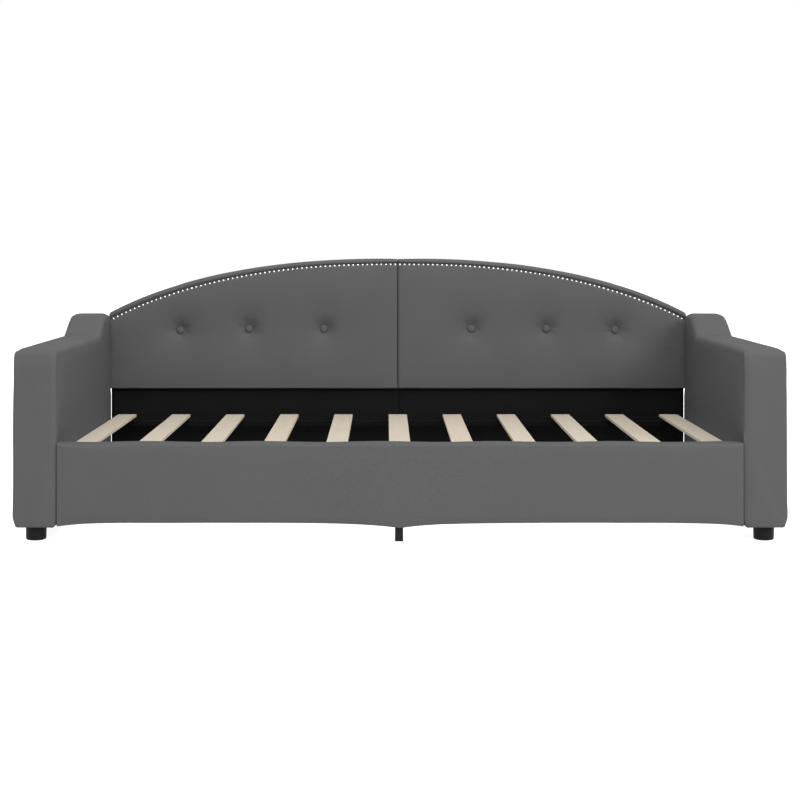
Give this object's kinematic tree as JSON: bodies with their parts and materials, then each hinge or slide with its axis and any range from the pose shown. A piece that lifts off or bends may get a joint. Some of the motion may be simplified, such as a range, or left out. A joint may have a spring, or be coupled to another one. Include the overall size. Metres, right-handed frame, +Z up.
{
  "type": "daybed",
  "caption": "Upholstered daybed with boxed arms that step up to a low arched, buttoned and nail-trimmed back, a padded front rail and a slatted base for a single mattress.",
  "frame": {"origin": "on the floor, under the middle of the bed", "axes": "+X runs along the bed to the right arm as seen from the open front, +Y goes from the open front to the backrest, +Z is up"},
  "size_m": [2.255, 1.03, 0.816],
  "materials": {
    "grey_fabric": "flat woven upholstery cloth, dark grey",
    "foam": "upholstery foam and wadding, hidden",
    "timber": "sawn softwood and plywood, unfinished",
    "black_timber": "softwood strip wrapped in black non-woven",
    "plywood": "pale plywood, planed and unvarnished",
    "black_lining": "black non-woven lining, matt",
    "webbing": "black woven polypropylene tape",
    "black_plastic": "satin black moulded plastic",
    "black_steel": "black powder coat",
    "zinc": "zinc plated steel",
    "nickel": "polished nickel nail heads"
  },
  "bodies": {
    "frame": {"arm_cover_left": "grey_fabric", "arm_cover_right": "grey_fabric", "arm_dust_cover_left": "black_lining", "arm_dust_cover_right": "black_lining", "arm_frame_left": "timber", "arm_frame_right": "timber", "arm_padding_left": "foam", "arm_padding_right": "foam", "back_cover_left": "grey_fabric", "back_cover_right": "grey_fabric", "back_frame_left": "timber", "back_frame_right": "timber", "back_join_plate": "black_steel", "back_lining_left": "black_lining", "back_lining_right": "black_lining", "back_padding_left": "foam", "back_padding_right": "foam", "back_rear_lining_left": "black_lining", "back_rear_lining_right": "black_lining", "centre_leg_front": "black_steel", "centre_leg_rear": "black_steel", "corner_bolt_front_left": "zinc", "corner_bolt_front_right": "zinc", "corner_bolt_rear_left": "zinc", "corner_bolt_rear_right": "zinc", "corner_bracket_front_left": "black_steel", "corner_bracket_front_right": "black_steel", "corner_bracket_rear_left": "black_steel", "corner_bracket_rear_right": "black_steel", "foot_front_left": "black_plastic", "foot_front_right": "black_plastic", "foot_rear_left": "black_plastic", "foot_rear_right": "black_plastic", "front_ledger": "timber", "front_rail_board": "timber", "front_rail_cover": "grey_fabric", "front_rail_padding": "foam", "nail_trim_left": "nickel", "nail_trim_right": "nickel", "rear_ledger_left": "black_timber", "rear_ledger_right": "black_timber", "tuft_button_left_1": "grey_fabric", "tuft_button_left_2": "grey_fabric", "tuft_button_left_3": "grey_fabric", "tuft_button_right_1": "grey_fabric", "tuft_button_right_2": "grey_fabric", "tuft_button_right_3": "grey_fabric"},
    "slat_base": {"slat_01": "plywood", "slat_02": "plywood", "slat_03": "plywood", "slat_04": "plywood", "slat_05": "plywood", "slat_06": "plywood", "slat_07": "plywood", "slat_08": "plywood", "slat_09": "plywood", "slat_10": "plywood", "slat_11": "plywood", "slat_tape_front": "webbing", "slat_tape_rear": "webbing"}
  },
  "joints": [
    {"name": "slat_lift", "type": "slide", "parent": "frame", "child": "slat_base", "axis": [0, 0, 1], "range_m": [0, 0.32]}
  ]
}
